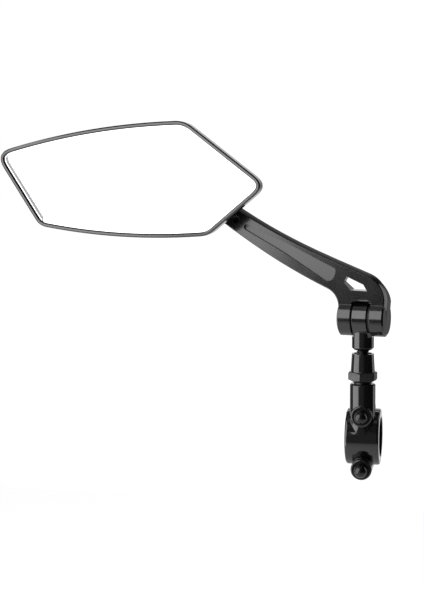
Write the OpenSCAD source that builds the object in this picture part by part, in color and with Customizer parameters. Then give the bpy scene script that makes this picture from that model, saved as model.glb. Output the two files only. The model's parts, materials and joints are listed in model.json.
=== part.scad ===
// Handlebar mirror: a split clamp, a swivelling stem with a lock nut, a folding arm
// and a five-sided mirror head on a ball joint.
// Frame: origin in the middle of the clamp bore, X along the handlebar to the right,
// Y forward, Z up. Sizes in millimetres.

/* [Handlebar clamp] */
// Diameter of the handlebar in the clamp
bar_d = 22.2; // [19:0.1:32]
// Width of the clamp along the handlebar
clamp_w = 18.6; // [16:0.2:30]
// Thickness of the clamp ring
clamp_wall = 4.4; // [4:0.1:7]
// Gap between the two clamp halves
clamp_gap = 0.8; // [0.4:0.1:1.6]
// Rounding of the edges of the clamp ring
clamp_round = 1.4; // [0.4:0.1:2]
// Depth of each flange on top of the clamp
flange_d = 5; // [4:0.5:10]
// Height of the flanges above the handlebar
flange_h = 3.9; // [3:0.1:6]
// Metal between the handlebar and the upper screw
upper_web = 0.4; // [0.4:0.1:3]
// Metal between the handlebar and the lower screw
lower_web = 1.8; // [0.4:0.1:3]

/* [Clamp screws] */
// Thread diameter of the clamp screws
screw_d = 5; // [4:0.5:6]
// Diameter of the screw heads
screw_head_d = 8.4; // [8:0.1:10]
// Height of the screw heads
screw_head_h = 3; // [2:0.1:5]
// Wall of the screw bosses around the heads
boss_wall = 1.4; // [0.8:0.1:2.5]
// Depth of the boss face in front of the clamp ring
boss_proud = 0.3; // [0.2:0.1:3]
// Width across the flats of the captive nuts
clamp_nut_af = 8; // [7:0.1:10]
// Height of the captive nuts
clamp_nut_h = 4; // [3:0.1:5]
// Diameter of the domed screw caps
cap_d = 7.2; // [5:0.1:8]
// Straight part of the screw caps below the dome
cap_skirt = 3.2; // [1:0.1:4]

/* [Post and lock nut] */
// Diameter of the post on the clamp
post_d = 14; // [12:0.2:18]
// Height of the post above the clamp ring
post_rise = 15.7; // [12:0.1:30]
// Thread diameter of the stud
stud_d = 7; // [6:0.5:8]
// Outer diameter of the lock washer
washer_d = 9.6; // [9.2:0.1:11]
// Height of the lock washer
washer_h = 1.6; // [1:0.1:4]
// Depth of the washer seat in the post
seat_depth = 0.8; // [0.4:0.1:1]
// Width across the flats of the lock nut
nut_af = 14.4; // [13:0.1:19]
// Height of the hexagon of the lock nut
nut_hex_h = 5.8; // [4:0.1:9]
// Diameter of the sleeve above the hexagon, at its top
sleeve_d = 12; // [11:0.1:15]
// Height of the sleeve
sleeve_h = 9.8; // [6:0.1:16]
// Clear height between the sleeve and the stem
stem_gap = 2.2; // [1.6:0.1:5]

/* [Stem and pivot] */
// Diameter of the stem
stem_d = 12; // [11:0.2:16]
// Length of the stem below the barrel
stem_len = 7.4; // [4:0.1:20]
// Diameter of the pivot bolt
bolt_d = 6; // [5:0.5:7]
// Width of the knuckle between the ears
knuckle_w = 7.8; // [6:0.1:12]
// Thickness of the left friction washer
left_washer_t = 0.8; // [0.6:0.1:2]
// Thickness of the right friction washer
right_washer_t = 1.8; // [0.6:0.1:3]
// Thickness of each ear of the fork
ear_w = 7.6; // [7:0.1:11]
// Diameter of the pivot barrel
barrel_d = 19.4; // [17:0.2:24]

/* [Arm] */
// Turn of the arm on the stem at rest, in degrees
arm_turn = -10; // [-60:1:60]
// Thickness of the arm
arm_t = 5.4; // [4.6:0.2:8]
// Width of the arm at its root
arm_w = 18.8; // [17:0.2:23]
// Rise of the upper edge from level, end to end, in degrees
arm_rise = 27.4; // [22:0.1:35]
// Length of the upper edge, end to end
arm_len = 107.5; // [90:0.5:130]
// Outer radius of the bend above the fork
bend_r = 16; // [15:0.2:19]
// Radius of the tip around the ball stud
tip_r = 6.2; // [6:0.1:9]
// Depth of the pocket in the front face
pocket_depth = 1.6; // [0.6:0.1:2.4]
// Upward lean of the pocket's floor, in degrees
pocket_lean = 4; // [0:0.5:6]

/* [Ball joint] */
// Diameter of the ball
ball_d = 10; // [9:0.1:11]
// Distance from the arm's front face to the middle of the ball
ball_reach = 10; // [9.4:0.1:14]
// Diameter of the ball neck
neck_d = 5.2; // [4:0.1:5.6]
// Thread diameter of the ball stud
shank_d = 6; // [5:0.5:6]

/* [Mirror head] */
// Turn of the mirror on the arm at rest, in degrees
mirror_yaw = 6; // [0:1:10]
// Width of the mirror between its unrounded corners
mirror_w = 161; // [140:1:180]
// Height of the mirror between its unrounded corners
mirror_h = 62.5; // [56:0.5:80]
// Distance from the ball to the right corner
ball_to_right = 47; // [40:0.5:60]
// Height of the ball above the lowest corner
ball_to_low = 24; // [20:0.5:32]
// Bow of the upper edge
top_bow = 4; // [0.5:0.1:8]
// Bow of the lower edge
low_bow = 3.4; // [0.5:0.1:8]
// Visible width of the rim
rim_w = 2.3; // [1.6:0.1:4]
// Thickness of the rim's wall
rim_wall = 1; // [0.8:0.1:1.4]
// Thickness of the mirror glass
glass_t = 2.5; // [1.5:0.1:4]
// Thickness of the pad behind the glass
pad_t = 0.8; // [0.4:0.1:2]
// Depth of the domed back behind the rim
dome_depth = 8.2; // [8:0.1:12]

/* [Hidden] */
$fn = 96;
// Clearances: a press or thread fit, a running fit and a loose fit, on the radius
press = 0.01;
run = 0.05;
loose = 0.15;
// Space left between parts that move past each other
air = 0.3;
// Length by which a cut passes the face it opens
over = 1;

// Clamp
bar_r = bar_d / 2;
ring_r = bar_r + clamp_wall;
upper_z = bar_r + upper_web + screw_d / 2;
lower_z = -(bar_r + lower_web + screw_d / 2);
counterbore_r = screw_head_d / 2 + loose;
boss_r = counterbore_r + boss_wall;
boss_y = -(ring_r + boss_proud);
head_sink = 0.6;
head_y = boss_y + screw_head_h + head_sink;
end_play = 0.2;
nut_wall = 2;
rear_boss_y = flange_d + nut_wall + clamp_nut_h;
flange_z = bar_r + flange_h;

// Post, lock nut and stem, from the bottom up
post_inset = 0.3;
post_r = post_d / 2;
post_y = -(ring_r - post_inset - post_r);
post_foot = 2;
post_top = ring_r + post_rise;
post_chamfer = 0.7;
stud_r = stud_d / 2;
stud_clear = 3;
stud_low = upper_z + screw_d / 2 + stud_clear;
washer_z = post_top - seat_depth;
nut_z = washer_z + washer_h;
sleeve_z = nut_z + nut_hex_h;
sleeve_flare = 1.2;
sleeve_recess_h = 5;
sleeve_wall = 1.1;
stem_z = sleeve_z + sleeve_h + stem_gap;
stem_chamfer = 1.1;
stud_grip = 6;

// Pivot, along its axis from the left end to the right end
barrel_r = barrel_d / 2;
knuckle_inset = 0.5;
knuckle_r = barrel_r - knuckle_inset;
pivot_z = stem_z + stem_len + barrel_r;
side_play = 0.1;
slot_left = -(knuckle_w / 2 + left_washer_t + side_play);
slot_right = knuckle_w / 2 + right_washer_t + side_play;
slot_w = slot_right - slot_left;
end_left = slot_left - ear_w;
end_right = slot_right + ear_w;
end_chamfer = [1.2, 0.8];
bolt_r = bolt_d / 2;
bush_wall = 1.2;
bush_r = bolt_r + bush_wall;
friction_inset = 1.2;
friction_r = knuckle_r - friction_inset;
bolt_head_edge = 2;
bolt_head_r = bolt_r + bolt_head_edge;
bolt_head_h = 2.6;
bolt_grip = 5.2;
bolt_run = 0.5;
bolt_end = slot_right + bolt_grip;
spring_t = 0.6;
spring_count = 2;
ear_floor = 2.3;
spring_x = slot_left - ear_floor;
bolt_head_x = spring_x - spring_count * spring_t;
cap_proud = 0.5;

// Arm, in its own frame: origin at the pivot, X along the pivot, Z up
arm_front = -6;
arm_back = arm_front + arm_t;
cheek = 0.8;
fork_left = end_left - cheek;
fork_right = end_right + cheek;
bend_c = [fork_right - bend_r, 9.75];
// Directions along a line with a given rise, and square to it
function along_rise(a) = [-cos(a), sin(a)];
function above_rise(a) = [sin(a), cos(a)];
// Rise of the upper edge at the bend and at the tip, and of the lower edge at the bend
root_rise = arm_rise - 5.4;
tip_rise = arm_rise + 8.6;
low_rise = arm_rise - 2.8;
edge_0 = bend_c + bend_r * above_rise(root_rise);
// A point by its distance along the upper edge's chord and its distance below it
function on_arm(along, below) = edge_0 + along * along_rise(arm_rise) - below * above_rise(arm_rise);
edge_1 = on_arm(arm_len, 0);
tip_c = edge_1 - tip_r * above_rise(tip_rise);
low_1 = edge_1 - 2 * tip_r * above_rise(tip_rise);
inner_r = 10;
inner_x = fork_left - inner_r;
low_along = (edge_0[0] - arm_w * sin(arm_rise) - inner_x - inner_r * sin(low_rise)) / cos(arm_rise);
low_0 = on_arm(low_along, arm_w);
inner_c = low_0 - inner_r * above_rise(low_rise);
// Front edge of the arm: a narrow chamfer, then a long slope
edge_w = 0.8;
edge_d = 0.4;
slope_w = 0.95;
slope_d = 3.8;
back_edge = 0.4;
// Thick part behind the fork
wedge_back = 6.5;
wedge_low = 9;
wedge_top = 21;
wedge_inset = 0.3;
arch_r = 7.8;
arch_z = 3.4;
dimple_r = 2;
dimple_depth = 3;
core_depth = 1.2;

// Ball joint
ball_r = ball_d / 2;
shell_gap = 0.08;
liner_t = 0.75;
cup_t = 0.9;
liner_in = ball_r + shell_gap;
liner_out = liner_in + liner_t;
cup_in = liner_out + shell_gap;
cup_out = cup_in + cup_t;
socket_r = cup_out + shell_gap;
mouth_play = 3;
tilt_most = 18;
liner_open = asin(neck_d / 2 / liner_in) + mirror_yaw + mouth_play;
cup_open = asin(neck_d / 2 / cup_in) + acos(cos(mirror_yaw) * cos(tilt_most)) + mouth_play;
ball_y = arm_front - ball_reach;
ball_at = [tip_c[0], ball_y, tip_c[1]];
neck_r = neck_d / 2;
shank_r = shank_d / 2;
stud_flange_edge = 2.6;
stud_flange_r = shank_r + stud_flange_edge;
stud_flange_h = 1.4;
ball_nut_edge = 2;
ball_nut_af = shank_d + 2 * ball_nut_edge;
ball_nut_h = 4.2;
shank_proud = 0.6;

// Mirror head, in its own frame: origin at the ball, front faces toward -Y
rim_lip = 1.05;
glass_y0 = rim_lip;
pad_y0 = glass_y0 + glass_t;
seat_y0 = pad_y0 + pad_t;
seat_h = 1.65;
rim_back = seat_y0 + seat_h;
dome_y = rim_back + dome_depth;
shell_t = 1.8;
seat_wall = 2;
ball_sunk = 1.2;
ball_depth = dome_y - ball_sunk;
shell_y = dome_y - shell_t;
socket_wall = 4;
base_r = socket_r + socket_wall;
socket_floor = 0.9;
base_y0 = ball_depth - socket_r - socket_floor;
hole_play = 0.4;
hole_r = base_r + hole_play;
flange_edge = 2.5;
flange_r = base_r + flange_edge;
flange_t = 1.5;
ring_t = 1.9;
m2_r = 1;
m2_head_r = 1.7;
m2_at = (socket_r + base_r) / 2;
m2_len = 5;
// Corners of the outline as shares of its width and height, with the length of each rounding
shape = [[0.003, 0.746, 10.4], [0.715, 1, 5.2], [1, 0.433, 8.9], [0.795, 0, 4.3], [0.171, 0.085, 4.2]];
// Outward bow of the edge after each corner
bows = [top_bow, 0, 0, low_bow, 0];
function corner(i) = let (c = shape[i % 5])
  [ball_to_right + (c[0] - 1) * mirror_w, c[1] * mirror_h - ball_to_low];
function edge_len(i) = norm(corner(i + 1) - corner(i));
function left_of(v) = [-v[1], v[0]] / norm(v);
function edge_at(i, s) = corner(i) + s * (corner(i + 1) - corner(i))
  + 4 * bows[i] * s * (1 - s) * left_of(corner(i + 1) - corner(i));
function edge_start(i) = shape[i][2] / edge_len(i);
function edge_end(i) = 1 - shape[(i + 1) % 5][2] / edge_len(i);
function bezier2(a, b, c, t) = (1 - t) * (1 - t) * a + 2 * t * (1 - t) * b + t * t * c;
function bezier3(a, b, c, d, t) = (1 - t) * bezier2(a, b, c, t) + t * bezier2(b, c, d, t);
corner_steps = 8;
bow_steps = 14;
// Outline clockwise from the left corner, then turned round to run the other way
mirror_clockwise = [for (i = [0:4]) each concat(
  [for (k = [0:corner_steps]) bezier2(edge_at((i + 4) % 5, edge_end((i + 4) % 5)), corner(i),
    edge_at(i, edge_start(i)), k / corner_steps)],
  [for (k = [1:1:(bows[i] > 0 ? bow_steps : 3) - 1]) let (n = bows[i] > 0 ? bow_steps : 3)
    edge_at(i, edge_start(i) + (edge_end(i) - edge_start(i)) * k / n)])];
mirror_line = [for (i = [len(mirror_clockwise) - 1:-1:0]) mirror_clockwise[i]];

// Outline moved inward by a distance, for a line that runs counter-clockwise
function inset(line, d) = let (n = len(line)) [for (i = [0:n - 1])
  let (
    a = left_of(line[i] - line[(i + n - 1) % n]),
    b = left_of(line[(i + 1) % n] - line[i]),
    m = a + b
  ) line[i] + d * 2 * m / (m * m)];
// Outline drawn toward the ball by a factor
function shrunk(line, f) = [for (p = line) f * p];
// Circle about the ball, with one point in line with each point of the outline
function round_ball(line, r) = [for (p = line) r * p / norm(p)];
// Outline placed at a depth
function at_depth(line, y) = [for (p = line) [p[0], y, p[1]]];
// Points on an arc from one angle to another
function arc_points(c, r, a0, a1, n) = [for (k = [0:n])
  let (a = a0 + (a1 - a0) * k / n) c + r * [cos(a), sin(a)]];

// Arm outline counter-clockwise, from the right end of the barrel
curve_steps = 14;
upper_pull = [0.28 * arm_len, 0.45 * arm_len];
lower_pull = [0.38 * arm_len, 0.27 * arm_len];
arm_line = concat(
  [[end_right, 0]],
  arc_points(bend_c, bend_r, 0, 90 - root_rise, curve_steps),
  [for (k = [1:curve_steps - 1]) bezier3(edge_0, edge_0 + upper_pull[0] * along_rise(root_rise),
    edge_1 - upper_pull[1] * along_rise(tip_rise), edge_1, k / curve_steps)],
  arc_points(tip_c, tip_r, 90 - tip_rise, 270 - tip_rise, curve_steps),
  [for (k = [1:curve_steps - 1]) bezier3(low_1, low_1 - lower_pull[0] * along_rise(tip_rise),
    low_0 + lower_pull[1] * along_rise(low_rise), low_0, k / curve_steps)],
  arc_points(inner_c, inner_r, 90 - low_rise, 0, 8),
  [[end_left, 0]]);

// Solid through rings of points that lie front to back
module loft(rings, closed = false) {
  n = len(rings[0]);
  m = len(rings);
  spans = closed ? m : m - 1;
  sides = [for (j = [0:spans - 1]) for (i = [0:n - 1])
    let (a = j * n, b = ((j + 1) % m) * n, k = (i + 1) % n)
      each [[a + i, a + k, b + k], [a + i, b + k, b + i]]];
  caps = closed ? [] : [[for (i = [0:n - 1]) n - 1 - i], [for (i = [0:n - 1]) (m - 1) * n + i]];
  polyhedron([for (r = rings) each r], concat(caps, sides), convexity = 8);
}

module rod_x(x0, x1, r) {
  translate([x0, 0, 0])
    rotate([0, 90, 0])
      cylinder(r = r, h = x1 - x0);
}

module rod_y(y0, y1, r) {
  translate([0, y0, 0])
    rotate([-90, 0, 0])
      cylinder(r = r, h = y1 - y0);
}

module hex_rod(h, af) {
  cylinder(r = af / sqrt(3), h = h, $fn = 6);
}

// Places
module on_post() {
  translate([0, post_y, 0])
    children();
}

module in_arm() {
  translate([0, post_y, pivot_z])
    rotate([0, 0, arm_turn])
      children();
}

module at_ball() {
  in_arm()
    translate(ball_at)
      rotate([0, 0, mirror_yaw])
        children();
}

module at_rim() {
  at_ball()
    translate([0, -ball_depth, 0])
      children();
}

module at_screws() {
  for (z = [upper_z, lower_z])
    translate([0, 0, z])
      children();
}

// Clamp ring with rounded edges, before it is split
module clamp_ring() {
  half = clamp_w / 2;
  rotate([0, 90, 0])
    rotate_extrude()
      union() {
        translate([0, -half + clamp_round])
          square([ring_r, clamp_w - 2 * clamp_round]);
        translate([0, -half])
          square([ring_r - clamp_round, clamp_w]);
        for (s = [-1, 1])
          translate([ring_r - clamp_round, s * (half - clamp_round)])
            circle(r = clamp_round);
      }
}

// Block on top of the clamp, rounded along its upper side edges
module flange(depth) {
  half = clamp_w / 2;
  rotate([90, 0, 0])
    linear_extrude(height = depth)
      union() {
        translate([-half, bar_r])
          square([clamp_w, flange_z - bar_r - clamp_round]);
        translate([-half + clamp_round, bar_r])
          square([clamp_w - 2 * clamp_round, flange_z - bar_r]);
        for (s = [-1, 1])
          translate([s * (half - clamp_round), flange_z - clamp_round])
            circle(r = clamp_round);
      }
}

module front_side() {
  size = 4 * ring_r;
  translate([-size / 2, -size - clamp_gap / 2, -size / 2])
    cube(size);
}

// Boss with a rounded front edge
module front_boss() {
  edge = 0.8;
  rotate([90, 0, 0])
    rotate_extrude()
      union() {
        square([boss_r, -boss_y - edge]);
        square([boss_r - edge, -boss_y]);
        translate([boss_r - edge, -boss_y - edge])
          circle(r = edge);
      }
}

module clamp_front() {
  color([0.09, 0.09, 0.1])
    difference() {
      union() {
        intersection() {
          union() {
            clamp_ring();
            flange(flange_d + clamp_gap / 2);
            at_screws()
              front_boss();
          }
          front_side();
        }
        on_post()
          translate([0, 0, post_foot])
            cylinder(r = post_r, h = post_top - post_chamfer - post_foot);
        on_post()
          translate([0, 0, post_top - post_chamfer])
            cylinder(r1 = post_r, r2 = post_r - post_chamfer, h = post_chamfer);
      }
      rod_x(-clamp_w, clamp_w, bar_r);
      at_screws() {
        rod_y(boss_y - over, over, screw_d / 2 + loose);
        rod_y(boss_y - over, head_y, counterbore_r);
      }
      on_post()
        translate([0, 0, washer_z])
          cylinder(r = washer_d / 2 + loose, h = seat_depth + over);
      on_post()
        translate([0, 0, stud_low - over])
          cylinder(r = stud_r + run, h = post_top);
    }
}

module clamp_rear() {
  color([0.09, 0.09, 0.1])
    difference() {
      intersection() {
        union() {
          clamp_ring();
          translate([0, flange_d, 0])
            flange(flange_d);
          at_screws()
            rod_y(0, rear_boss_y, boss_r);
        }
        mirror([0, 1, 0])
          front_side();
      }
      rod_x(-clamp_w, clamp_w, bar_r);
      at_screws() {
        rod_y(-over, ring_r + over, screw_d / 2 + loose);
        translate([0, rear_boss_y - clamp_nut_h, 0])
          rotate([-90, 0, 0])
            hex_rod(ring_r, clamp_nut_af + 2 * loose);
      }
    }
}

module clamp_screws() {
  socket_af = 4;
  socket_depth = 1.8;
  color([0.12, 0.12, 0.13])
    at_screws()
      difference() {
        union() {
          rod_y(head_y, rear_boss_y - end_play, screw_d / 2);
          rod_y(head_y - screw_head_h, head_y, screw_head_d / 2);
        }
        translate([0, head_y - screw_head_h + socket_depth, 0])
          rotate([90, 0, 0])
            hex_rod(socket_depth + over, socket_af);
      }
}

module clamp_nuts() {
  color([0.45, 0.45, 0.47])
    at_screws()
      difference() {
        translate([0, rear_boss_y - clamp_nut_h, 0])
          rotate([-90, 0, 0])
            hex_rod(clamp_nut_h - end_play, clamp_nut_af);
        rod_y(0, rear_boss_y + over, screw_d / 2 + press);
      }
}

module screw_caps() {
  color([0.06, 0.06, 0.07])
    at_screws()
      translate([0, head_y - screw_head_h, 0])
        rotate([90, 0, 0])
          rotate_extrude()
            union() {
              square([cap_d / 2, cap_skirt]);
              intersection() {
                translate([0, cap_skirt])
                  circle(r = cap_d / 2);
                square([cap_d, cap_skirt + cap_d]);
              }
            }
}

module lock_washer() {
  split = 0.8;
  color([0.1, 0.1, 0.11])
    on_post()
      translate([0, 0, washer_z])
        difference() {
          cylinder(r = washer_d / 2, h = washer_h);
          translate([0, 0, -over])
            cylinder(r = stud_r + air, h = washer_h + 2 * over);
          translate([-split / 2, 0, -over])
            cube([split, washer_d, washer_h + 2 * over]);
        }
}

module lock_nut() {
  corner_r = nut_af / sqrt(3);
  top_chamfer = 0.8;
  low_chamfer = 1.6;
  low_r = washer_d / 2 + loose;
  nut_turn = 24;
  sleeve_r = sleeve_d / 2;
  color([0.09, 0.09, 0.1])
    on_post()
      difference() {
        union() {
          intersection() {
            translate([0, 0, nut_z])
              rotate([0, 0, nut_turn])
                hex_rod(nut_hex_h, nut_af);
            rotate_extrude()
              polygon([[0, nut_z], [low_r, nut_z], [corner_r, nut_z + low_chamfer],
                [corner_r, sleeve_z - top_chamfer], [corner_r - 2 * top_chamfer, sleeve_z], [0, sleeve_z]]);
          }
          translate([0, 0, sleeve_z - top_chamfer])
            cylinder(r = sleeve_r + sleeve_flare / 2, h = top_chamfer);
          translate([0, 0, sleeve_z])
            cylinder(r1 = sleeve_r + sleeve_flare / 2, r2 = sleeve_r, h = sleeve_h);
        }
        translate([0, 0, nut_z - over])
          cylinder(r = stud_r + run, h = nut_hex_h + sleeve_h + 2 * over);
        translate([0, 0, sleeve_z + sleeve_h - sleeve_recess_h])
          cylinder(r = sleeve_r - sleeve_wall, h = sleeve_recess_h + over);
      }
}

module threaded_stud() {
  end = 0.8;
  color([0.2, 0.2, 0.21])
    on_post() {
      translate([0, 0, stud_low])
        cylinder(r1 = stud_r - end, r2 = stud_r, h = end);
      translate([0, 0, stud_low + end])
        cylinder(r = stud_r, h = stem_z + stud_grip - stud_low - end);
    }
}

module knuckle() {
  stem_r = stem_d / 2;
  shoulder_z = pivot_z - barrel_r - air;
  color([0.09, 0.09, 0.1])
    difference() {
      union() {
        on_post()
          translate([0, 0, stem_z])
            cylinder(r1 = stem_r - stem_chamfer, r2 = stem_r, h = stem_chamfer);
        on_post()
          translate([0, 0, stem_z + stem_chamfer])
            cylinder(r = stem_r, h = shoulder_z - stem_z - stem_chamfer);
        intersection() {
          on_post()
            translate([0, 0, stem_z + stem_chamfer])
              cylinder(r = stem_r, h = pivot_z - stem_z - stem_chamfer);
          in_arm()
            rod_x(-knuckle_w / 2, knuckle_w / 2, pivot_z);
        }
        in_arm()
          rod_x(-knuckle_w / 2, knuckle_w / 2, knuckle_r);
      }
      in_arm()
        rod_x(-knuckle_w, knuckle_w, bush_r + press);
      on_post()
        translate([0, 0, stem_z - over])
          cylinder(r = stud_r + press, h = stud_grip + over);
    }
}

module pivot_bush() {
  color([0.62, 0.5, 0.24])
    in_arm()
      difference() {
        rod_x(-knuckle_w / 2, knuckle_w / 2, bush_r);
        rod_x(-knuckle_w, knuckle_w, bolt_r + run);
      }
}

module arm() {
  color([0.13, 0.13, 0.14])
    in_arm()
      difference() {
        union() {
          difference() {
            arm_plate(arm_line, arm_front, arm_back);
            edge_cut([[-over, arm_front - over], [-slope_w, arm_front + 2 * slope_d],
              [slope_w, arm_front + edge_d], [edge_w + slope_w, arm_front - edge_d]]);
            edge_cut([[back_edge + over, arm_back + over], [-over, arm_back - back_edge - over],
              [-over, arm_back + over]]);
          }
          barrel();
          fork_wedge();
        }
        fork_slot();
        pivot_cuts();
        front_cuts();
        back_core();
        translate([ball_at[0], 0, ball_at[2]])
          rod_y(arm_front - over, wedge_back, shank_r + press);
      }
}

// Plate with a given outline, from front to back
module arm_plate(line, y0, y1) {
  translate([0, y1, 0])
    rotate([90, 0, 0])
      linear_extrude(height = y1 - y0)
        polygon(line);
}

// Ring along the arm's outline with a given profile, each point an inset and a depth
module edge_cut(profile) {
  loft([for (p = profile) at_depth(inset(arm_line, p[0]), p[1])], closed = true);
}

// Barrel of the fork, with chamfered ends
module barrel() {
  rim = barrel_r - end_chamfer[0];
  rotate([0, 90, 0])
    rotate_extrude()
      polygon([[0, end_left], [rim, end_left], [barrel_r, end_left + end_chamfer[1]],
        [barrel_r, end_right - end_chamfer[1]], [rim, end_right], [0, end_right]]);
}

// Thickening behind the fork, sloped up to the back of the arm
module fork_wedge() {
  wide = 2 * (fork_right - fork_left);
  intersection() {
    arm_plate(inset(arm_line, wedge_inset), arm_back - 2 * back_edge, wedge_back);
    rotate([90, 0, 90])
      translate([0, 0, -wide / 2])
        linear_extrude(height = wide)
          polygon([[arm_back - over, 0], [wedge_back, 0], [wedge_back, wedge_low],
            [arm_back - back_edge, wedge_top], [arm_back - over, wedge_top]]);
  }
}

// Slot for the knuckle, with an arched top that is closed behind
module fork_slot() {
  depth = 4 * barrel_r;
  translate([slot_left, -depth / 2, -depth])
    cube([slot_w, depth, depth + arch_z]);
  rod_x(slot_left, slot_right, barrel_r + air);
  intersection() {
    translate([slot_left, -depth / 2, 0])
      cube([slot_w, depth / 2, depth]);
    translate([(slot_left + slot_right) / 2, 0, arch_z])
      rod_y(-depth / 2, depth / 2, arch_r);
  }
}

module pivot_cuts() {
  rod_x(end_left - over, 0, bolt_r + loose);
  rod_x(end_left - over, spring_x, bolt_head_r + loose);
  rod_x(0, bolt_end + bolt_run, bolt_r + press);
}

// Pocket, window and dimple in the front face
module front_cuts() {
  // Circles along the pocket: distance along the upper edge, distance below it and radius
  pocket = [[73, 10.3, 1.5], [47, 9.7, 2.7], [20, 10.5, 4.1], [18.2, 7.9, 1.6]];
  middle = on_arm(pocket[1][0], pocket[1][1]);
  window = [[-5.8, 13.2], [-7.5, 10.2], [-3.7, 5.9], [5.5, 5.6], [3.5, 9]];
  dimple = on_arm(80.4, 9.5);
  translate([middle[0], arm_front + pocket_depth, middle[1]])
    rotate(a = pocket_lean, v = [-cos(arm_rise), 0, sin(arm_rise)])
      rotate([90, 0, 0])
        linear_extrude(height = pocket_depth + over)
          for (k = [0:len(pocket) - 2])
            hull()
              for (p = [pocket[k], pocket[k + 1]])
                translate(on_arm(p[0], p[1]) - middle)
                  circle(r = p[2], $fn = 32);
  translate([bend_c[0], wedge_back, bend_c[1]])
    rotate([90, 0, 0])
      linear_extrude(height = wedge_back - arm_front + over)
        polygon(window);
  translate([dimple[0], arm_front + dimple_depth, dimple[1]])
    rod_y(-dimple_depth - over, 0, dimple_r);
}

// Channel along the back of the arm
module back_core() {
  channel = [on_arm(26, 5), on_arm(60, 8.4), on_arm(84, 7.6),
    on_arm(84, 11.4), on_arm(60, 14.6), on_arm(26, 15)];
  translate([0, arm_back + over, 0])
    rotate([90, 0, 0])
      linear_extrude(height = core_depth + over)
        polygon(channel);
}

module pivot_bolt() {
  socket_af = 4;
  socket_depth = 1.6;
  color([0.3, 0.3, 0.32])
    in_arm()
      difference() {
        union() {
          rod_x(bolt_head_x, bolt_end, bolt_r);
          rod_x(bolt_head_x - bolt_head_h, bolt_head_x, bolt_head_r);
        }
        translate([bolt_head_x - bolt_head_h - over, 0, 0])
          rotate([0, 90, 0])
            hex_rod(socket_depth + over, socket_af);
      }
}

module disc_springs() {
  color([0.5, 0.5, 0.52])
    in_arm()
      for (k = [0:spring_count - 1])
        difference() {
          rod_x(spring_x - (k + 1) * spring_t, spring_x - k * spring_t, bolt_head_r - loose);
          rod_x(end_left, 0, bolt_r + loose);
        }
}

module pivot_cap() {
  color([0.06, 0.06, 0.07])
    in_arm()
      rod_x(end_left - cap_proud, bolt_head_x - bolt_head_h, bolt_head_r + loose - press);
}

module friction_washers() {
  color([0.25, 0.25, 0.26])
    in_arm()
      difference() {
        union() {
          rod_x(slot_left, slot_left + left_washer_t, friction_r);
          rod_x(slot_right - right_washer_t, slot_right, friction_r);
        }
        rod_x(end_left, end_right, bolt_r + loose);
      }
}

module ball_stud() {
  color([0.55, 0.55, 0.57])
    in_arm()
      translate(ball_at)
        union() {
          sphere(r = ball_r);
          rod_y(0, ball_reach, neck_r);
          rod_y(ball_reach - stud_flange_h, ball_reach, stud_flange_r);
          rod_y(ball_reach, ball_reach + arm_t + ball_nut_h + shank_proud, shank_r);
        }
}

module ball_nut() {
  color([0.4, 0.4, 0.42])
    in_arm()
      translate([ball_at[0], arm_back, ball_at[2]])
        difference() {
          rotate([-90, 0, 0])
            hex_rod(ball_nut_h, ball_nut_af);
          rod_y(-over, ball_nut_h + over, shank_r + press);
        }
}

// Round shell about the ball, open toward the arm by a half angle
module ball_shell(r_in, r_out, half_angle) {
  long = 2 * r_out;
  rotate([-90, 0, 0])
    rotate_extrude()
      difference() {
        circle(r = r_out);
        circle(r = r_in);
        polygon([[0, 0], [long * tan(half_angle), long], [0, long]]);
        translate([-long, -long])
          square([long, 2 * long]);
      }
}

module ball_liner() {
  color([0.8, 0.8, 0.76])
    at_ball()
      ball_shell(liner_in, liner_out, liner_open);
}

module ball_cup() {
  color([0.18, 0.18, 0.19])
    at_ball()
      ball_shell(cup_in, cup_out, cup_open);
}

module mirror_glass() {
  edge = 0.5;
  gap = rim_wall + loose;
  color([0.85, 0.88, 0.9])
    at_rim()
      loft([
        at_depth(inset(mirror_line, gap + edge), glass_y0),
        at_depth(inset(mirror_line, gap), glass_y0 + edge),
        at_depth(inset(mirror_line, gap), pad_y0)]);
}

module glass_pad() {
  pad_inset = 1.2;
  gap = rim_wall + loose + pad_inset;
  color([0.15, 0.15, 0.15])
    at_rim()
      loft([at_depth(inset(mirror_line, gap), pad_y0), at_depth(inset(mirror_line, gap), seat_y0)]);
}

module bezel() {
  // Width and depth of the slope on each side of the flat crest
  slope = [0.75, 0.6];
  profile = [[slope[0], 0], [0, slope[1]], [0, rim_back], [rim_wall, rim_back], [rim_wall, rim_lip],
    [rim_w, rim_lip], [rim_w, slope[1]], [rim_w - slope[0], 0]];
  color([0.1, 0.1, 0.11])
    at_rim()
      loft([for (p = profile) at_depth(inset(mirror_line, p[0]), p[1])], closed = true);
}

// Cover with a domed back and a round hole for the ball socket
module mirror_housing() {
  // Share of the dome's depth, and share of the outline left at that depth
  dome = [[0.12, 1], [0.32, 0.987], [0.52, 0.963], [0.7, 0.929], [0.85, 0.885], [0.95, 0.833], [1, 0.77]];
  last = len(dome) - 1;
  seat_in = rim_wall + loose;
  inner_line = inset(mirror_line, seat_in + seat_wall);
  inner_depth = dome_depth - shell_t;
  color([0.12, 0.12, 0.13])
    at_rim()
      loft(concat(
        [at_depth(round_ball(mirror_line, hole_r), shell_y)],
        [for (i = [last:-1:0]) at_depth(shrunk(inner_line, dome[i][1]), rim_back + dome[i][0] * inner_depth)],
        [at_depth(inner_line, seat_y0),
          at_depth(inset(mirror_line, seat_in), seat_y0),
          at_depth(inset(mirror_line, seat_in), rim_back),
          at_depth(inset(mirror_line, loose), rim_back)],
        [for (d = dome) at_depth(shrunk(inset(mirror_line, loose), d[1]), rim_back + d[0] * dome_depth)],
        [at_depth(round_ball(mirror_line, hole_r), dome_y)]), closed = true);
}

module at_socket_screws() {
  for (a = [90, 210, 330])
    rotate([0, a, 0])
      translate([m2_at, 0, 0])
        children();
}

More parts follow.
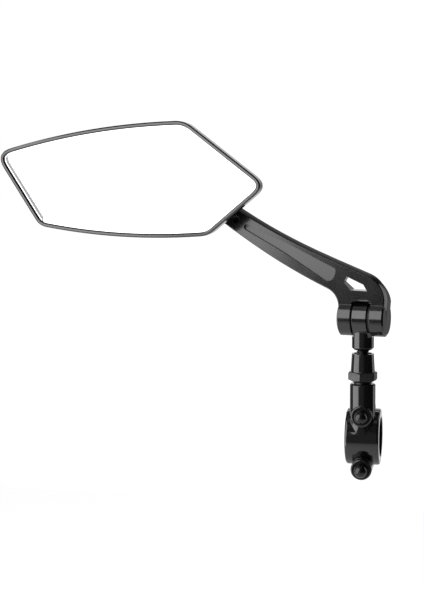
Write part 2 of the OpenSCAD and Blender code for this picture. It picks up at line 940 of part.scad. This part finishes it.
// Inner half of the socket, with a flange that bears on the inside of the cover
module socket_base() {
  color([0.16, 0.16, 0.17])
    at_rim()
      difference() {
        union() {
          rod_y(base_y0, ball_depth, base_r);
          rod_y(shell_y - flange_t, shell_y, flange_r);
        }
        translate([0, ball_depth, 0])
          sphere(r = socket_r);
        at_socket_screws()
          rod_y(dome_y - m2_len, dome_y, m2_r + press);
      }
}

// Outer half of the socket, with a flange that bears on the back of the cover
module socket_ring() {
  mouth_share = 0.93;
  mouth_r = mouth_share * socket_r;
  color([0.14, 0.14, 0.15])
    at_rim()
      difference() {
        union() {
          rod_y(ball_depth, dome_y, base_r);
          rod_y(dome_y, dome_y + ring_t, flange_r);
        }
        translate([0, ball_depth, 0])
          sphere(r = socket_r);
        rod_y(ball_depth - over, dome_y + ring_t + over, mouth_r);
        at_socket_screws() {
          rod_y(0, dome_y + ring_t + over, m2_r + loose);
          rod_y(dome_y + ring_t - m2_r, dome_y + ring_t + over, m2_head_r + loose);
        }
      }
}

module socket_screws() {
  color([0.35, 0.35, 0.37])
    at_rim()
      at_socket_screws() {
        rod_y(dome_y + end_play - m2_len, dome_y + ring_t - m2_r, m2_r);
        rod_y(dome_y + ring_t - m2_r, dome_y + ring_t, m2_head_r);
      }
}

clamp_front();
clamp_rear();
clamp_screws();
clamp_nuts();
screw_caps();
lock_washer();
lock_nut();
knuckle();
threaded_stud();
pivot_bush();
arm();
pivot_bolt();
disc_springs();
pivot_cap();
friction_washers();
ball_stud();
ball_nut();
ball_liner();
ball_cup();
mirror_housing();
bezel();
mirror_glass();
glass_pad();
socket_base();
socket_ring();
socket_screws();
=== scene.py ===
"""Looks of the handlebar mirror: materials, the stud's thread, floor, light and camera around the CAD frame.

Lengths are in metres and angles in degrees.
"""

import json
import math

import bmesh
import bpy
from mathutils import Matrix, Vector


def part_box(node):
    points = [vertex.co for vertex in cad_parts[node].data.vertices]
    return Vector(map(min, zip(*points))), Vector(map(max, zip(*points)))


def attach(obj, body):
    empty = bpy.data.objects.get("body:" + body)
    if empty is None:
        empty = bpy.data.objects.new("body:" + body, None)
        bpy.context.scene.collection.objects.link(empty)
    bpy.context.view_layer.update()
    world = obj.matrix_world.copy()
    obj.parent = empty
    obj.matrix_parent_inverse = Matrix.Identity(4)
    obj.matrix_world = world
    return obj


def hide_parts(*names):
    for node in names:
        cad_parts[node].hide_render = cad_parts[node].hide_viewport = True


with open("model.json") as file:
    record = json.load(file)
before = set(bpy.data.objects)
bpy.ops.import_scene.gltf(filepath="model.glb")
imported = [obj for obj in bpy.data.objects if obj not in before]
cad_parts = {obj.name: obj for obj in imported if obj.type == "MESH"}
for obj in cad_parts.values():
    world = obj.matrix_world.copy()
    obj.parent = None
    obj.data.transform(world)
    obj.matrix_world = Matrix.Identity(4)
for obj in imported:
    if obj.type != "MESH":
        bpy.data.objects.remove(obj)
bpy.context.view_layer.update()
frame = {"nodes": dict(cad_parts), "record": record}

MM = 0.001

# Camera, fitted to the photograph: an image of 424 x 600 pixels, no shift
CAMERA_AT = Vector((61.83, -630.34, 141.31)) * MM
CAMERA_YAW = 13.2
CAMERA_PITCH = 5.875
CAMERA_ROLL = 0.5
CAMERA_LENS = 69.0
CAMERA_SENSOR = 36.0
CAMERA_NEAR = 10 * MM

# Middle of the object, where the lamps aim
AIM = Vector((-60, -10, 90)) * MM

# Upright soft panels: name, azimuth, distance, width, lower and upper end, radiance
PANELS = (
    ("left_panel_high", -50, 0.5, 0.8, 0.085, 0.85, 2.4),
    ("left_panel_low", -59.5, 0.5, 0.6, -0.29, 0.085, 2.4),
    ("right_panel", 122, 0.6, 0.25, -0.1, 0.4, 0.9),
)
# Lamp overhead: elevation, distance, width, depth and radiance
TOP_ELEVATION = 84
TOP_DISTANCE = 0.9
TOP_WIDTH = 0.8
TOP_DEPTH = 0.6
TOP_RADIANCE = 0.25

# Level of the world by direction, as ramps that are multiplied: axis, start and end on it, level at each.
# Dim in front and white behind, less overhead and toward the right
WORLD_RAMPS = (
    ("Y", 0.55, 0.97, 0.12, 1.1),
    ("Z", 0.3, 0.5, 1.0, 0.4),
    ("X", 0.1, 0.4, 1.0, 0.2),
)

# Floor: far below the clamp, because the part hangs on a handlebar
FLOOR_Z = -0.3
FLOOR_SIZE = 1.8
FLOOR_TONE = (0.5, 0.54)
FLOOR_CLOUDS = 3.0
FLOOR_ROUGH = 0.9
FLOOR_SPECULAR = 0.1
# Own light of the floor, for the camera and for reflections
FLOOR_GLOW = 0.9
FLOOR_SHEEN = 0.4

# Tints of a grey
NEUTRAL = (1.0, 1.0, 1.03)
WARM = (1.0, 0.78, 0.42)
CREAM = (1.0, 0.99, 0.92)

# Clouds of a coating: their scale, and the share by which they vary its tone and roughness
CLOUD_SCALE = 60.0
UNEVEN = 0.12
# Roughness of every noise, and the range that its values mostly have
NOISE_ROUGH = 0.55
NOISE_LOW = 0.3
NOISE_HIGH = 0.7
# Worn edges: samples of the rounded normal, how far it agrees with the flat one where an edge is worn
# and where it is not, and the least wear
EDGE_SAMPLES = 6
EDGE_WORN = 0.86
EDGE_WHOLE = 0.99
WEAR_LEAST = 0.35

# Cast surface of the lock nut's hexagon: fade at its upper end, size of its grain and range of roughness
CAST_FADE = 0.2 * MM
CAST_SCALE = 1100.0
CAST_ROUGH = (0.3, 0.55)
# Share of the lock nut's height that is hexagon
HEX_SHARE = 0.37

# Silvered glass: tone and roughness through its haze, and the haze's scale
GLASS_TONE = (0.93, 0.96)
GLASS_TINT = (0.99, 1.0, 1.0)
GLASS_ROUGH = (0.004, 0.02)
GLASS_HAZE = 35.0

# Edges sharper than this stay sharp, and points closer than this are one
SMOOTH_ANGLE = 28
WELD = 0.002 * MM

# Screw thread of the stud
THREAD_PITCH = 1.0 * MM
THREAD_DEPTH = 0.55 * MM
THREAD_TAPER = 0.8 * MM
THREAD_AROUND = 36
THREAD_RINGS_PER_TURN = 12
# Its flank is this much steeper than a plain zigzag, which leaves a flat on crest and root
THREAD_STEEPNESS = 1.3

# Painted reflection of the rim lip's inner wall, as a grey line along the left edge of the glass: its sides
# as depths from the edge, its lift and its width at the ends
LINE_OUTER = 1.3 * MM
LINE_INNER = 3.0 * MM
LINE_LIFT = 0.05 * MM
LINE_END = 0.4 * MM
# How far the edge faces left where the line starts, and from there to its full depth
LINE_FACES = 0.4
LINE_TURNS = 0.3
# Grey of the painted reflection line
REFLECTION_GREY = 0.42
LINE_ROUGH = 0.8
LINE_SPECULAR = 0.2
LINE_WEAR = 0.02 * MM

# Faces whose normals agree this well lie on one flat side
FLAT = 0.999


def rgb(value, tint=(1.0, 1.0, 1.0)):
    """Grey of a value, with a tint, as an RGBA colour."""
    return (value * tint[0], value * tint[1], value * tint[2], 1.0)


class Shader:
    """A material under construction: its node tree, its Principled shader and short ways to add nodes."""

    def __init__(self, name):
        self.material = bpy.data.materials.new(name)
        self.material.use_nodes = True
        self.tree = self.material.node_tree
        self.main = self.tree.nodes["Principled BSDF"]

    def node(self, kind, **settings):
        """A new node with its settings."""
        made = self.tree.nodes.new(kind)
        for key, value in settings.items():
            setattr(made, key, value)
        return made

    def link(self, out, into):
        """Links an output to an input."""
        self.tree.links.new(out, into)

    def place(self):
        """Position on the piece, in metres."""
        return self.node("ShaderNodeTexCoord").outputs["Object"]

    def noise(self, scale, detail=3.0):
        """Cloudy value, mostly from NOISE_LOW to NOISE_HIGH."""
        made = self.node("ShaderNodeTexNoise")
        made.inputs["Scale"].default_value = scale
        made.inputs["Detail"].default_value = detail
        made.inputs["Roughness"].default_value = NOISE_ROUGH
        self.link(self.place(), made.inputs["Vector"])
        return made.outputs["Fac"]

    def spread(self, value, low, high, start=NOISE_LOW, end=NOISE_HIGH):
        """Maps a value from start..end, a noise's range unless given, to low..high."""
        made = self.node("ShaderNodeMapRange")
        made.inputs["From Min"].default_value = start
        made.inputs["From Max"].default_value = end
        made.inputs["To Min"].default_value = low
        made.inputs["To Max"].default_value = high
        self.link(value, made.inputs["Value"])
        return made.outputs["Result"]

    def math(self, operation, a, b):
        """A sum, product or maximum of two values."""
        made = self.node("ShaderNodeMath", operation=operation)
        self.link(a, made.inputs[0])
        self.link(b, made.inputs[1])
        return made.outputs["Value"]

    def blend(self, factor, a, b):
        """Mixes two colours, or two values, by a factor."""
        made = self.node("ShaderNodeMix", data_type="RGBA")
        self.link(factor, made.inputs["Factor"])
        for slot, value in (("A", a), ("B", b)):
            socket = next(s for s in made.inputs if s.name == slot and s.type == "RGBA")
            if isinstance(value, tuple):
                socket.default_value = value
            else:
                self.link(value, socket)
        return next(s for s in made.outputs if s.type == "RGBA")

    def edges(self, radius):
        """1 on sharp edges, 0 away from them; and the rounded normal."""
        soft = self.node("ShaderNodeBevel", samples=EDGE_SAMPLES)
        soft.inputs["Radius"].default_value = radius
        flat = self.node("ShaderNodeNewGeometry")
        dot = self.node("ShaderNodeVectorMath", operation="DOT_PRODUCT")
        self.link(soft.outputs["Normal"], dot.inputs[0])
        self.link(flat.outputs["Normal"], dot.inputs[1])
        worn = self.spread(dot.outputs["Value"], 1.0, 0.0, EDGE_WORN, EDGE_WHOLE)
        return worn, soft.outputs["Normal"]

    def bump(self, height, strength, distance, normal):
        """Fine relief over a normal, as the normal of the shader."""
        made = self.node("ShaderNodeBump")
        made.inputs["Strength"].default_value = strength
        made.inputs["Distance"].default_value = distance
        self.link(height, made.inputs["Height"])
        self.link(normal, made.inputs["Normal"])
        self.link(made.outputs["Normal"], self.main.inputs["Normal"])


def coated(name, colour, worn, rough, metallic=0.0, specular=0.5, grain=900.0, grain_depth=0.01 * MM,
           grain_strength=0.1, edge=0.4 * MM, ior=1.5, cast_below=None):
    """A coated, plated or moulded surface: cloudy tone, fine grain, uneven gloss and lighter worn edges.

    The colour is a grey and its tint. Below the height cast_below, if given, it stays as rough as cast.
    """
    s = Shader(name)
    worn_edge, soft_normal = s.edges(edge)
    patch = s.noise(CLOUD_SCALE, detail=4.0)
    fine = s.noise(grain, detail=2.0)
    grey, tint = colour
    darker, lighter = rgb(grey * (1 - UNEVEN), tint), rgb(grey * (1 + UNEVEN), tint)
    tone = s.blend(s.spread(patch, 0.0, 1.0), darker, lighter)
    rubbed = s.math("MULTIPLY", worn_edge, s.spread(patch, WEAR_LEAST, 1.0))
    s.link(s.blend(rubbed, tone, rgb(worn)), s.main.inputs["Base Color"])
    gloss = s.spread(patch, rough * (1 - UNEVEN), rough * (1 + UNEVEN))
    if cast_below is not None:
        height = s.node("ShaderNodeSeparateXYZ")
        s.link(s.place(), height.inputs["Vector"])
        cast = s.spread(height.outputs["Z"], 1.0, 0.0, cast_below - CAST_FADE, cast_below + CAST_FADE)
        gloss = s.blend(cast, gloss, s.spread(s.noise(CAST_SCALE), *CAST_ROUGH))
    s.link(gloss, s.main.inputs["Roughness"])
    s.main.inputs["Metallic"].default_value = metallic
    s.main.inputs["Specular IOR Level"].default_value = specular
    s.main.inputs["IOR"].default_value = ior
    s.bump(fine, grain_strength, grain_depth, soft_normal)
    return s.material


def mirror_material():
    """Silvered glass: full mirror with a trace of haze."""
    s = Shader("mirror_glass")
    haze = s.noise(GLASS_HAZE, detail=5.0)
    plain, hazy = rgb(GLASS_TONE[0]), rgb(GLASS_TONE[1], GLASS_TINT)
    s.link(s.blend(s.spread(haze, 0.0, 1.0), plain, hazy), s.main.inputs["Base Color"])
    s.link(s.spread(haze, *GLASS_ROUGH), s.main.inputs["Roughness"])
    s.main.inputs["Metallic"].default_value = 1.0
    return s.material


def slot_materials():
    """One material for each slot in the record."""
    finishes = {
        "gloss_black_metal": dict(colour=(0.0045, NEUTRAL), worn=0.02, rough=0.12, specular=1.0),
        "satin_black_metal": dict(colour=(0.007, NEUTRAL), worn=0.03, rough=0.16, specular=0.9,
                                  grain=2600.0, grain_strength=0.16),
        "dark_steel": dict(colour=(0.06, NEUTRAL), worn=0.16, rough=0.3, metallic=1.0, grain=1400.0),
        "plain_steel": dict(colour=(0.46, NEUTRAL), worn=0.6, rough=0.28, metallic=1.0, grain=1400.0),
        "bronze": dict(colour=(0.62, WARM), worn=0.7, rough=0.3, metallic=1.0),
        "gloss_black_plastic": dict(colour=(0.006, NEUTRAL), worn=0.02, rough=0.18, specular=0.6),
        "matte_black_plastic": dict(colour=(0.02, NEUTRAL), worn=0.04, rough=0.5,
                                    grain=1700.0, grain_strength=0.35, grain_depth=0.03 * MM),
        "pale_plastic": dict(colour=(0.7, CREAM), worn=0.75, rough=0.45),
        "foam": dict(colour=(0.035, NEUTRAL), worn=0.04, rough=0.9,
                     grain=2200.0, grain_strength=0.6, grain_depth=0.08 * MM),
    }
    made = {slot: coated(slot, **finish) for slot, finish in finishes.items()}
    made["mirror_glass"] = mirror_material()
    return made


def node_materials():
    """Finishes of single nodes that differ a little from the rest of their slot."""
    low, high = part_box("lock_nut")
    hexagon_top = low[2] + HEX_SHARE * (high[2] - low[2])
    return {
        "bezel": coated("rim_plastic", (0.01, NEUTRAL), 0.03, 0.16, edge=0.15 * MM, ior=1.95),
        "lock_nut": coated("nut_metal", (0.006, NEUTRAL), 0.02, 0.12, specular=1.0, cast_below=hexagon_top),
    }


def smooth_by_angle():
    """Geometry node group that shades smooth, apart from edges sharper than an angle."""
    group = bpy.data.node_groups.new("smooth_by_angle", "GeometryNodeTree")
    group.interface.new_socket("Geometry", in_out="INPUT", socket_type="NodeSocketGeometry")
    group.interface.new_socket("Geometry", in_out="OUTPUT", socket_type="NodeSocketGeometry")
    add, link = group.nodes.new, group.links.new
    start, end = add("NodeGroupInput"), add("NodeGroupOutput")
    faces, edges = add("GeometryNodeSetShadeSmooth"), add("GeometryNodeSetShadeSmooth")
    faces.domain, edges.domain = "FACE", "EDGE"
    angle, test = add("GeometryNodeInputMeshEdgeAngle"), add("FunctionNodeCompare")
    test.data_type, test.operation = "FLOAT", "LESS_THAN"
    test.inputs["B"].default_value = math.radians(SMOOTH_ANGLE)
    link(start.outputs[0], faces.inputs["Geometry"])
    link(faces.outputs[0], edges.inputs["Geometry"])
    link(angle.outputs["Unsigned Angle"], test.inputs["A"])
    link(test.outputs["Result"], edges.inputs["Shade Smooth"])
    link(edges.outputs[0], end.inputs[0])
    return group


def dress_cad(materials):
    """Gives every CAD node its own or its slot's material, and clean smooth shading."""
    group = smooth_by_angle()
    special = node_materials()
    for part in frame["record"]["subparts"]:
        node = frame["nodes"][part["node"]]
        node.data.materials.clear()
        node.data.materials.append(special.get(part["node"], materials[part["material_slot"]]))
        weld = node.modifiers.new("weld", "WELD")
        weld.merge_threshold = WELD
        node.modifiers.new("smooth", "NODES").node_group = group


def add_mesh(name, verts, faces, material):
    """A mesh object from points and faces, with its faces turned outward."""
    mesh = bpy.data.meshes.new(name)
    mesh.from_pydata(verts, [], faces)
    mesh.update()
    made = bpy.data.objects.new(name, mesh)
    bpy.context.collection.objects.link(made)
    mesh.materials.append(material)
    build = bmesh.new()
    build.from_mesh(mesh)
    bmesh.ops.recalc_face_normals(build, faces=build.faces)
    build.to_mesh(mesh)
    build.free()
    return made


def skin(rings, around):
    """Faces of a closed skin over rings of points, the first and the last ring filled."""
    faces = []
    for k in range(rings - 1):
        for j in range(around):
            a, b = k * around + j, k * around + (j + 1) % around
            faces.append((a, b, b + around, a + around))
    last = (rings - 1) * around
    faces.append(tuple(range(around)))
    faces.append(tuple(range(last, last + around)))
    return faces


def add_thread(materials):
    """The stud with its real screw thread, in place of the plain CAD rod: one closed skin of level rings."""
    low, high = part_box("threaded_stud")
    x, y = (low[0] + high[0]) / 2, (low[1] + high[1]) / 2
    crest = (high[0] - low[0]) / 2
    length = high[2] - low[2]
    steps = round(length / THREAD_PITCH * THREAD_RINGS_PER_TURN)
    verts = []
    for k in range(steps + 1):
        up = length * k / steps
        end = max(0.0, 1.0 - min(up, length - up) / THREAD_TAPER)
        for j in range(THREAD_AROUND):
            turn = j / THREAD_AROUND
            # 0 on the crest and 1 in the root, with a short flat on each
            wave = abs(2.0 * ((up / THREAD_PITCH - turn) % 1.0) - 1.0)
            cut = min(1.0, max(0.0, THREAD_STEEPNESS * (wave - 0.5) + 0.5))
            radius = crest - THREAD_DEPTH * max(cut, end)
            angle = 2 * math.pi * turn
            verts.append((x + radius * math.cos(angle), y + radius * math.sin(angle), low[2] + up))
    stud = add_mesh("stud_thread", verts, skin(steps + 1, THREAD_AROUND), materials["dark_steel"])
    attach(stud, "stem")
    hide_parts("threaded_stud")


def front_outline(node):
    """Boundary of a node's largest flat side toward the viewer, in order, with that side's normal."""
    build = bmesh.new()
    build.from_mesh(node.data)
    bmesh.ops.remove_doubles(build, verts=build.verts, dist=WELD)
    normal = max(build.faces, key=lambda f: f.calc_area()).normal.copy()
    if normal.y > 0:
        normal.negate()
    side = {f for f in build.faces if f.normal.dot(normal) > FLAT}
    follows = {}
    for face in side:
        for loop in face.loops:
            if sum(other in side for other in loop.edge.link_faces) == 1:
                follows[loop.vert] = loop.link_loop_next.vert
    start = next(iter(follows))
    line = [start.co.copy()]
    at = follows[start]
    while at != start:
        line.append(at.co.copy())
        at = follows[at]
    build.free()
    return line, normal


def add_painted_reflection_strip():
    """Grey line on the glass along its left edge: a painted reflection of the rim lip's inner wall in the
    mirror.

    It runs into the rim at both corners.
    """
    line, normal = front_outline(frame["nodes"]["mirror_glass"])
    count = len(line)
    stations = []
    for i in range(count):
        along = (line[(i + 1) % count] - line[i - 1]).normalized()
        stations.append((line[i], along.cross(normal)))
    left = [k for k in range(count) if stations[k][1].x < -LINE_FACES]
    first = next(k for k in left if (k - 1) % count not in left)
    verts = []
    for j in range(len(left)):
        point, out = stations[(first + j) % count]
        reach = min(1.0, (-out.x - LINE_FACES) / LINE_TURNS)
        near, far = LINE_OUTER * reach, LINE_END + (LINE_INNER - LINE_END) * reach
        for depth, height in ((near, 0), (far, 0), (far, LINE_LIFT), (near, LINE_LIFT)):
            verts.append(tuple(point - depth * out + height * normal))
    # Painted reflection: a flat grey strip that stands in for the rim lip's inner wall seen in the mirror
    grey = coated("painted_lip_reflection", (REFLECTION_GREY, NEUTRAL), REFLECTION_GREY, LINE_ROUGH,
                  specular=LINE_SPECULAR, edge=LINE_WEAR)
    piece = add_mesh("lip_reflection_strip", verts, skin(len(left), 4), grey)
    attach(piece, "head")


def add_floor():
    """Pale floor that stays white for the camera and still takes a soft shadow."""
    half = FLOOR_SIZE / 2
    corners = [(x, y, FLOOR_Z) for x, y in ((-half, -half), (half, -half), (half, half), (-half, half))]
    s = Shader("pale_floor")
    s.main.inputs["Roughness"].default_value = FLOOR_ROUGH
    s.main.inputs["Specular IOR Level"].default_value = FLOOR_SPECULAR
    dark, pale = (rgb(tone) for tone in FLOOR_TONE)
    s.link(s.blend(s.spread(s.noise(FLOOR_CLOUDS), 0.0, 1.0), dark, pale), s.main.inputs["Base Color"])
    s.main.inputs["Emission Color"].default_value = rgb(1.0)
    path = s.node("ShaderNodeLightPath").outputs
    seen = s.math("MAXIMUM", path["Is Camera Ray"], path["Is Transmission Ray"])
    glow = s.spread(seen, 0.0, FLOOR_GLOW, 0.0, 1.0)
    sheen = s.spread(path["Is Glossy Ray"], 0.0, FLOOR_SHEEN, 0.0, 1.0)
    s.link(s.math("ADD", glow, sheen), s.main.inputs["Emission Strength"])
    floor = add_mesh("floor", corners, [(0, 1, 2, 3)], s.material)


def add_world():
    """White behind the object, dim in front, and plain white for the camera."""
    world = bpy.data.worlds.new("studio")
    bpy.context.scene.world = world
    world.use_nodes = True
    add, link = world.node_tree.nodes.new, world.node_tree.links.new

    def join(operation, a, b):
        both = add("ShaderNodeMath")
        both.operation = operation
        link(a, both.inputs[0])
        link(b, both.inputs[1])
        return both.outputs["Value"]

    place, split = add("ShaderNodeTexCoord"), add("ShaderNodeSeparateXYZ")
    link(place.outputs["Generated"], split.inputs["Vector"])
    lit = None
    for axis, start, end, low, high in WORLD_RAMPS:
        ramp = add("ShaderNodeMapRange")
        for socket, value in (("From Min", start), ("From Max", end), ("To Min", low), ("To Max", high)):
            ramp.inputs[socket].default_value = value
        link(split.outputs[axis], ramp.inputs["Value"])
        level = ramp.outputs["Result"]
        lit = level if lit is None else join("MULTIPLY", lit, level)
    path = add("ShaderNodeLightPath").outputs
    for ray in ("Is Camera Ray", "Is Transmission Ray"):
        lit = join("MAXIMUM", path[ray], lit)
    background = world.node_tree.nodes["Background"]
    background.inputs["Color"].default_value = rgb(1.0)
    link(lit, background.inputs["Strength"])


def direction(azimuth, elevation=0.0):
    """Unit vector from the object: azimuth 0 toward the viewer, positive to the right."""
    a, e = math.radians(azimuth), math.radians(elevation)
    return Vector((math.sin(a) * math.cos(e), -math.cos(a) * math.cos(e), math.sin(e)))


def add_lamp(name, at, away, width, height, radiance):
    """A rectangular soft lamp at a point, facing against a direction; radiance 1 looks plain white."""
    data = bpy.data.lights.new(name, "AREA")
    data.shape = "RECTANGLE"
    data.size, data.size_y = width, height
    data.energy = radiance * math.pi * width * height
    lamp = bpy.data.objects.new(name, data)
    bpy.context.collection.objects.link(lamp)
    lamp.location = at
    lamp.rotation_euler = away.to_track_quat("Z", "Y").to_euler()


def add_lamps():
    """The upright panels and the lamp overhead."""
    for name, azimuth, distance, width, low, high, radiance in PANELS:
        away = direction(azimuth)
        at = Vector((AIM.x, AIM.y, (low + high) / 2)) + distance * away
        add_lamp(name, at, away, width, high - low, radiance)
    up = direction(0, TOP_ELEVATION)
    add_lamp("top_lamp", AIM + TOP_DISTANCE * up, up, TOP_WIDTH, TOP_DEPTH, TOP_RADIANCE)


def add_camera():
    """Camera from its yaw, pitch and roll about the line of sight."""
    yaw, pitch, roll = (math.radians(a) for a in (CAMERA_YAW, CAMERA_PITCH, CAMERA_ROLL))
    level = Vector((math.cos(yaw), math.sin(yaw), 0))
    ahead = Vector((-math.sin(yaw) * math.cos(pitch), math.cos(yaw) * math.cos(pitch), -math.sin(pitch)))
    above = level.cross(ahead)
    right = math.cos(roll) * level - math.sin(roll) * above
    up = math.cos(roll) * above + math.sin(roll) * level
    camera = bpy.data.objects.new("camera", bpy.data.cameras.new("camera"))
    bpy.context.collection.objects.link(camera)
    camera.data.lens = CAMERA_LENS
    camera.data.sensor_width = CAMERA_SENSOR
    camera.data.clip_start = CAMERA_NEAR
    turn = Matrix((right, up, -ahead)).transposed().to_4x4()
    camera.matrix_world = Matrix.Translation(CAMERA_AT) @ turn
    bpy.context.scene.camera = camera


slots = slot_materials()
dress_cad(slots)
add_thread(slots)
# Painted reflection line on the glass
add_painted_reflection_strip()
add_floor()
add_world()
add_lamps()
add_camera()
bpy.context.scene.view_settings.view_transform = "Standard"
